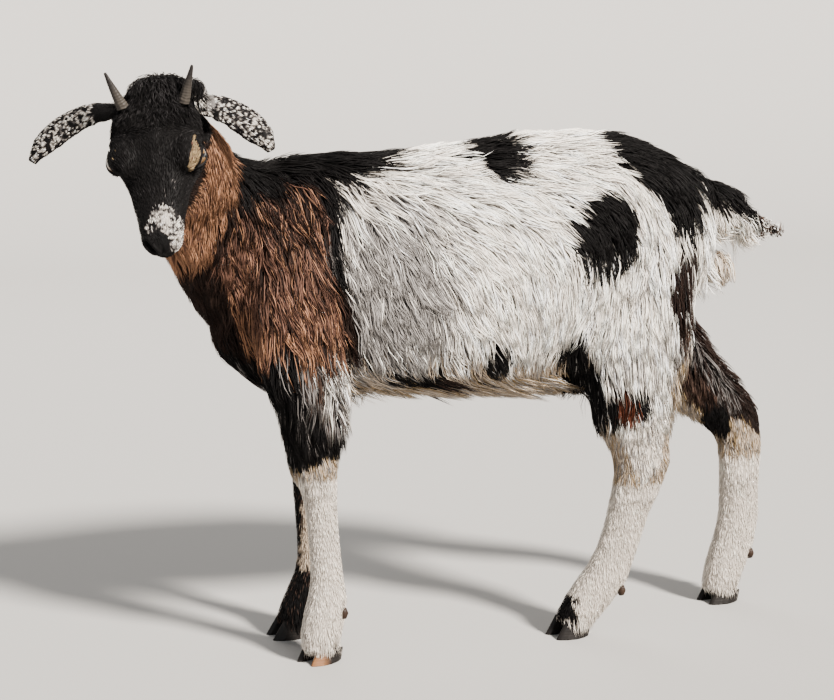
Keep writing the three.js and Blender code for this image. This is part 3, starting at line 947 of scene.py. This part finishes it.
def lock_mesh(name, rings, outs, widths, root_colour_and_shade, tip_colour, patches):
    """One mesh of locks. A lock's rings have three corners: left, ridge and right."""
    count, levels = rings.shape[:2]
    ahead = unit(rings[:, 1:] - rings[:, :-1])
    ahead = np.concatenate([ahead, ahead[:, -1:]], axis=1)
    side = unit(np.cross(ahead, outs))
    out = np.cross(side, ahead)
    share = np.linspace(0, 1, levels)
    half = 0.5 * widths[:, None, None] * np.interp(share, *TAPER)[None, :, None]
    corners = np.stack([rings - side * half, rings + out * half * RIDGE, rings + side * half], axis=2)
    tip = (levels - 1) * 3
    last = tip - 3
    points = np.concatenate([corners[:, :-1].reshape(count, tip, 3), rings[:, -1:]], axis=1)
    turn = [(k, (k + 1) % 3) for k in range(3)]
    quads = [(low + a, low + b, low + b + 3, low + a + 3) for low in range(0, last, 3) for a, b in turn]
    tris = [(0, 2, 1)] + [(last + a, last + b, tip) for a, b in turn]
    base = (np.arange(count) * (tip + 1))[:, None, None]
    faces = [face for shape in (quads, tris) for lock in (np.array(shape) + base).tolist() for face in lock]
    mesh = new_mesh(name, points.reshape(-1, 3).tolist(), faces)
    along = np.append(np.repeat(share[:-1], 3), 1.0)
    # Each lock blends from its dark root to its tip over its first two thirds: partly the hair's own darker
    # base, partly painted shade deep in the coat.
    fade = np.clip(along * 1.5, 0, 1)[None, :, None] ** 0.9
    paint(mesh, "Coat", mix(root_colour_and_shade[:, None], tip_colour[:, None], fade).reshape(-1, 3))
    along[1] = 0.5 / (levels - 1)  # so that the closed end is no line on the map
    across = np.append(np.tile([0, 0.5, 1.0], levels - 1), 0.5)
    spots = patches[:, None] + np.stack([across, along], axis=1)[None] * PATCH
    order = read(mesh.loops, "vertex_index", 1, np.int32)
    layer = mesh.uv_layers.new(name="OFBake")
    layer.data.foreach_set("uv", spots.reshape(-1, 2)[order].astype(np.float32).ravel())
    return mesh


def unwrapped(points, axis=None):
    """Places on an unwrap of a limb or barrel: along its axis and round it, each from 0 to 1."""
    centred = points - points.mean(axis=0)
    if axis is None:
        axis = np.linalg.svd(centred[::7], full_matrices=False)[2][0]
    first = unit(np.cross(axis, [0.3, 1.0, 0.2]))
    second = np.cross(axis, first)
    along = centred @ axis
    angle = np.arctan2(centred @ second, centred @ first)
    spans = [(value - value.min()) / np.ptp(value) for value in (along, angle)]
    return np.stack(spans, axis=1) * (1 - 4 * PATCH) + PATCH


MOST_TRIANGLES = 190_000  # in one piece of the coat
CLUMP, STRAND = 30, 6  # locks that share a clump, and the fewer that share a strand
BACK = np.array([1.0, 0.0, 0.0])
PARTS = {
    # part: kinds of node, rings, pull of the clumps, axis of its unwrap or None for its longest, slot
    "trunk": (("trunk",), 5, 0.74, BACK, "coat_white"),
    "neck": (("neck",), 4, 0.7, None, "coat_brown"),
    "thighs": (("upper",), 4, 0.72, UP, "coat_white"),
    "shanks": (("lower", "claw", "dewclaw"), 3, 0.15, UP, "coat_white"),
    "tail": (("tail",), 5, 0.5, None, "coat_black"),
    "head": (("head",), 3, 0.25, None, "coat_black"),
    "ears": (("ear",), 3, 0.2, None, "coat_mottled"),
}


def grow_coat(coat, material):
    locks = Locks(coat, seed=7)
    for part, (kinds, levels, pull, axis, slot) in PARTS.items():
        chosen, weights = locks.scatter(kinds)
        rings, outs = locks.grow(chosen, weights, levels - 1)
        root = rings[:, 0]
        rings, _ = locks.clump(rings, root, CLUMP, 0.7 * pull)
        rings, strand = locks.clump(rings, root, STRAND, pull)
        count = len(root)
        widths = np.sum(coat.width[chosen] * weights, axis=1) * locks.rng.uniform(*WIDTH_SPREAD, count)
        where = rings[:, levels // 2]
        near = locks.nearest(where)
        marks = Markings(where, coat.kinds[near], coat.rim[near], locks.rng.random(count))
        tones = mix(locks.rng.random(count)[strand], locks.rng.random(count), 0.4)
        root_tones_and_shade, tip_tones = coat_colours(marks.names, tones)
        triangles = count * ((levels - 2) * 6 + 4)
        pieces = math.ceil(triangles / MOST_TRIANGLES)
        order = np.argsort(root @ (BACK if axis is None else axis), kind="stable")
        for number, rows in enumerate(np.array_split(order, pieces), 1):
            mesh = lock_mesh(
                f"coat_{part}_{number}", rings[rows], outs[rows], widths[rows],
                root_tones_and_shade[rows], tip_tones[rows], unwrapped(root[rows], axis))
            mesh.materials.append(material)
            piece = link(mesh.name, mesh)
            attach(piece, "root")


# ---------- materials ----------
GRAIN_SCALE = 700.0  # of the fine noise in the hair and hide, for each metre


class Nodes:
    """A short way to wire a material's nodes."""

    def __init__(self, name, **settings):
        self.material = bpy.data.materials.new(name)
        self.material.use_nodes = True
        self.tree = self.material.node_tree
        self.shader = self.tree.nodes["Principled BSDF"]
        for socket, value in settings.items():
            self.shader.inputs[socket.replace("_", " ")].default_value = value

    def add(self, kind, inputs=(), **fields):
        node = self.tree.nodes.new(kind)
        adjust(node, **fields)
        for socket, value in dict(inputs).items():
            if isinstance(value, bpy.types.NodeSocket):
                self.tree.links.new(value, node.inputs[socket])
            else:
                node.inputs[socket].default_value = value
        return node

    def wire(self, socket, output):
        self.tree.links.new(output, self.shader.inputs[socket])


def painted_material(name, roughness, gloss):
    """A bare surface in its painted colours, with a clear wet coat where gloss is 1."""
    nodes = Nodes(name, Roughness=roughness, Coat_Weight=gloss, Coat_Roughness=0.03, Specular_IOR_Level=0.14)
    nodes.wire("Base Color", nodes.add("ShaderNodeAttribute", attribute_name="Coat").outputs["Color"])
    return nodes.material


def coat_material(name, bump):
    """Hair or hide in its painted colours, mottled by a fine grain."""
    nodes = Nodes(name, Roughness=0.68, Specular_IOR_Level=0.09)
    colour = nodes.add("ShaderNodeAttribute", attribute_name="Coat").outputs["Color"]
    place = nodes.add("ShaderNodeTexCoord").outputs["Object"]
    grain = {"Vector": place, "Scale": GRAIN_SCALE, "Detail": 3.0}
    grain = nodes.add("ShaderNodeTexNoise", grain).outputs["Fac"]
    shade = nodes.add("ShaderNodeMapRange", {"Value": grain, "To Min": 0.72, "To Max": 1.28})
    both = {0: colour, "Scale": shade.outputs["Result"]}
    nodes.wire("Base Color", nodes.add("ShaderNodeVectorMath", both, operation="SCALE").outputs["Vector"])
    if bump:
        relief = nodes.add("ShaderNodeBump", {"Height": grain, "Strength": 0.5, "Distance": bump})
        nodes.wire("Normal", relief.outputs["Normal"])
    return nodes.material


# ---------- horns, hooves and eyes ----------
HORN_VOXEL, CLAW_VOXEL = 0.7 * MM, 0.8 * MM
HORN_RING, CLAW_RING = 2.6 * MM, 2.8  # from one ring of growth to the next
SOLE_BAND = 0.7 * MM  # what lies this near a claw's lowest point is pressed flat
EYE_STEPS, EYE_TURNS = 44, 64
EYE_DOME = 0.5  # how far the clear front stands out, in millimetres
IRIS = 8.6  # its radius, in millimetres
PUPIL = (5.4, 1.9)  # half length and half height of the slot, which stays level


def tone(low, high, share):
    return mix(np.array(low)[None], np.array(high)[None], share[:, None])


def finished(piece, node, colours, material):
    """Paints a refined copy of a node, and puts it in the node's place."""
    paint(piece.data, "Coat", colours)
    piece.data.shade_smooth()
    piece.data.materials.clear()
    piece.data.materials.append(material)
    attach(piece, "root")
    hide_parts(node)


def smooth_copy(node, voxel, rounds):
    piece = link(f"fine_{node}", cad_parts[node].data.copy())
    surface = Surface(modified(piece, "REMESH", mode="VOXEL", voxel_size=voxel))
    rounded(surface, rounds)
    return piece, surface


def make_horn(side, material):
    """A horn with rings of growth, rough at its foot and smooth and dark at its tip."""
    node = f"horn_{side}"
    piece, surface = smooth_copy(node, HORN_VOXEL, 14)
    points = surface.points
    offset = points - middle(node)
    axis = np.linalg.svd(offset - offset.mean(axis=0), full_matrices=False)[2][0]
    along = offset @ (axis * np.sign(axis @ BROW))
    share = (along - along.min()) / np.ptp(along)
    rings = np.sin(2 * math.pi * (along / HORN_RING + 0.4 * noise(points, 0.004, 12)))
    relief = 0.22 * rings * (1 - share) + 0.12 * noise(points, 0.002, 13)
    surface.move(points + surface.normals * (relief * MM)[:, None])
    colours = tone((0.034, 0.029, 0.024), (0.009, 0.0075, 0.007), ramp(share, 0.15, 0.85))
    shade = 1 + 0.22 * rings * (1 - share) + 0.16 * noise(surface.points, 0.003, 14)
    finished(piece, node, colours * shade[:, None], material)


def make_claw(node, material):
    """A claw or dewclaw with faint rings round its wall and, on a claw, a flat sole at its own level."""
    piece, surface = smooth_copy(node, CLAW_VOXEL, 30)
    z = surface.points[:, 2] / MM
    wave = np.sin(2 * math.pi * z / CLAW_RING + 1.5 * noise(surface.points, 0.012, 15))
    side_wall = 1 - np.abs(surface.normals[:, 2])
    moved = surface.points + surface.normals * (0.07 * MM * wave * side_wall)[:, None]
    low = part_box(node)[0].z
    sole = surface.points[:, 2] < low + SOLE_BAND
    moved[:, 2] = np.where(sole & (low < MM), low, np.maximum(moved[:, 2], low))
    surface.move(moved)
    x = on_body(surface.points)[:, 0]
    brown = ramp(x, -160, -172) * ramp(z, 17, 8) * (node == "claw_fore_left_outer")
    brown = np.maximum(brown, 0.1 if "dewclaw" in node else 0)
    colours = tone((0.005, 0.004, 0.0035), (0.10, 0.045, 0.019), brown)
    shade = 1.2 + 0.12 * wave + 0.6 * noise(surface.points, 0.006, 16)
    finished(piece, node, colours * shade[:, None], material)


def ball_faces(steps, turns):
    """Faces of a ball of rings between two poles: the first point and the last."""
    last = 1 + (steps - 2) * turns
    pairs = [(k, (k + 1) % turns) for k in range(turns)]
    faces = [(0, 1 + a, 1 + b) for a, b in pairs]
    for low in range(1, last, turns):
        faces += [(low + a, low + a + turns, low + b + turns, low + b) for a, b in pairs]
    return faces + [(last + a, last + turns, last + b) for a, b in pairs]


def make_eye(side, material):
    """A smooth eyeball: amber iris with a dark rim, a level slot pupil, and a slightly domed front."""
    gaze, along, over = eye_axes(side)
    tilt = np.pi * (np.arange(1, EYE_STEPS) / EYE_STEPS) ** 1.5
    turn = 2 * np.pi * np.arange(EYE_TURNS) / EYE_TURNS
    sideways = along[None] * np.cos(turn)[:, None] + over[None] * np.sin(turn)[:, None]
    ways = gaze * np.cos(tilt)[:, None, None] + sideways[None] * np.sin(tilt)[:, None, None]
    ways = np.concatenate([gaze[None], ways.reshape(-1, 3), -gaze[None]])
    u, v = EYE_RADIUS * (ways @ along), EYE_RADIUS * (ways @ over)
    from_axis = EYE_RADIUS * np.hypot(ways @ along, ways @ over)
    front = ways @ gaze > 0
    reach = EYE_RADIUS + EYE_DOME * ramp(from_axis, IRIS, 2) * front
    local = on_head(EYES[side]) + ways * reach[:, None]
    ball = new_mesh(f"fine_eye_{side}", from_head(local).tolist(), ball_faces(EYE_STEPS, EYE_TURNS))
    spokes = noise(np.stack([np.arctan2(v, u) * 2.2, from_axis * 0.25, u * 0], axis=1), 0.16, 17)
    iris = tone((0.12, 0.062, 0.018), (0.04, 0.018, 0.006), ramp(from_axis, 3, IRIS))
    iris = iris * (1 + 0.3 * spokes)[:, None]
    white = tone((0.05, 0.035, 0.028), (0.02, 0.014, 0.012), ramp(from_axis, IRIS, EYE_RADIUS))
    colours = mix(iris, white, (ramp(from_axis, IRIS - 0.5, IRIS + 0.4) * front + ~front)[:, None])
    level = unit(np.cross(HEAD_AXES @ UP, gaze))
    across, up = EYE_RADIUS * (ways @ level), EYE_RADIUS * (ways @ np.cross(gaze, level))
    slot = (across / PUPIL[0]) ** 4 + (up / PUPIL[1]) ** 4
    colours = mix(colours, np.array([[0.003, 0.003, 0.004]]), (ramp(slot, 1.3, 0.8) * front)[:, None])
    finished(link(ball.name, ball), f"eye_{side}", colours, material)


# ---------- putting the goat together ----------
skin, shell = body_shell()
shell = thin_out(skin, shell)
shell = shaped_face(shell.mesh)
coat = Coat(shell)
# The skin is painted near the locks' dark root colours, a fifth of the way to the tips: painted shade under
# the coat, seen between the locks.
half = np.full(len(shell.points), 0.5)
roots, tips = coat_colours(Markings(shell.points, coat.kinds, coat.rim, half).names, half)
paint(shell.mesh, "Coat", mix(roots, tips, 0.2))
shell.mesh.shade_smooth()
shell.mesh.materials.append(coat_material("Hide", 0.6 * MM))
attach(skin, "root")
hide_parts(*FLESH)
grow_coat(coat, coat_material("Fur", 0))

horny = painted_material("Horny", 0.5, 0.0)
glassy = painted_material("Glassy", 0.12, 1.0)
for side in EYES:
    make_horn(side, horny)
    make_eye(side, glassy)
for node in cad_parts:
    if "claw" in node:
        make_claw(node, horny)

# ---------- stage ----------
FLOOR_FRONT, FLOOR_BACK = -6.0, 3.0  # the floor's depth, in metres, before it sweeps up as a backdrop
SWEEP = 2.5  # radius of that sweep
STAGE_HALF = 9.0
STAGE_TOP = 5.0
AIM_HEIGHT = 0.33  # the lights point at this height


def stage():
    """A pale floor that sweeps up behind the goat into a backdrop."""
    angles = np.linspace(0, math.pi / 2, 24)
    profile = [(FLOOR_FRONT, 0.0)]
    profile += [(FLOOR_BACK + SWEEP * math.sin(a), SWEEP * (1 - math.cos(a))) for a in angles]
    profile.append((FLOOR_BACK + SWEEP, STAGE_TOP))
    points = [(x, y, z) for y, z in profile for x in (-STAGE_HALF, STAGE_HALF)]
    faces = [(2 * k, 2 * k + 1, 2 * k + 3, 2 * k + 2) for k in range(len(profile) - 1)]
    mesh = new_mesh("floor", points, faces)
    mesh.materials.append(Nodes("Floor", Roughness=0.85, Base_Color=(0.29, 0.283, 0.272, 1)).material)
    link("floor", mesh)
    world = bpy.data.worlds.new("World")
    bpy.context.scene.world = world
    world.use_nodes = True
    sky = world.node_tree.nodes["Background"].inputs
    sky["Color"].default_value = (0.88, 0.89, 0.91, 1)
    sky["Strength"].default_value = 0.52


def light(name, kind, at, power, colour, **shape):
    """A light of a kind at a place, aimed at the goat's middle."""
    data = bpy.data.lights.new(name, kind)
    adjust(data, energy=power, color=colour, **shape)
    lamp = link(name, data)
    lamp.location = at
    aim = Vector((0, UNDER_BARREL[1], AIM_HEIGHT)) - lamp.location
    lamp.rotation_euler = aim.to_track_quat("-Z", "Y").to_euler()


stage()
light("key", "SUN", (1.5, -2.2, 2.5), 20.0, (1.0, 0.935, 0.86), angle=math.radians(9))
light("fill", "AREA", (-2.4, -2.2, 1.3), 24, (0.90, 0.94, 1.0), shape="DISK", size=2.2)
light("back", "AREA", (0.2, 2.2, 2.2), 40, (1.0, 0.98, 0.95), shape="DISK", size=1.8)

camera_data = bpy.data.cameras.new("camera")
camera_data.lens = LENS
camera_data.clip_end = 60
camera = link("camera", camera_data)
camera.location = UNDER_BARREL + CAMERA_FROM_BARREL
camera.rotation_euler = (math.radians(90 - CAMERA_ELEVATION), 0, math.radians(CAMERA_AZIMUTH))
bpy.context.scene.camera = camera
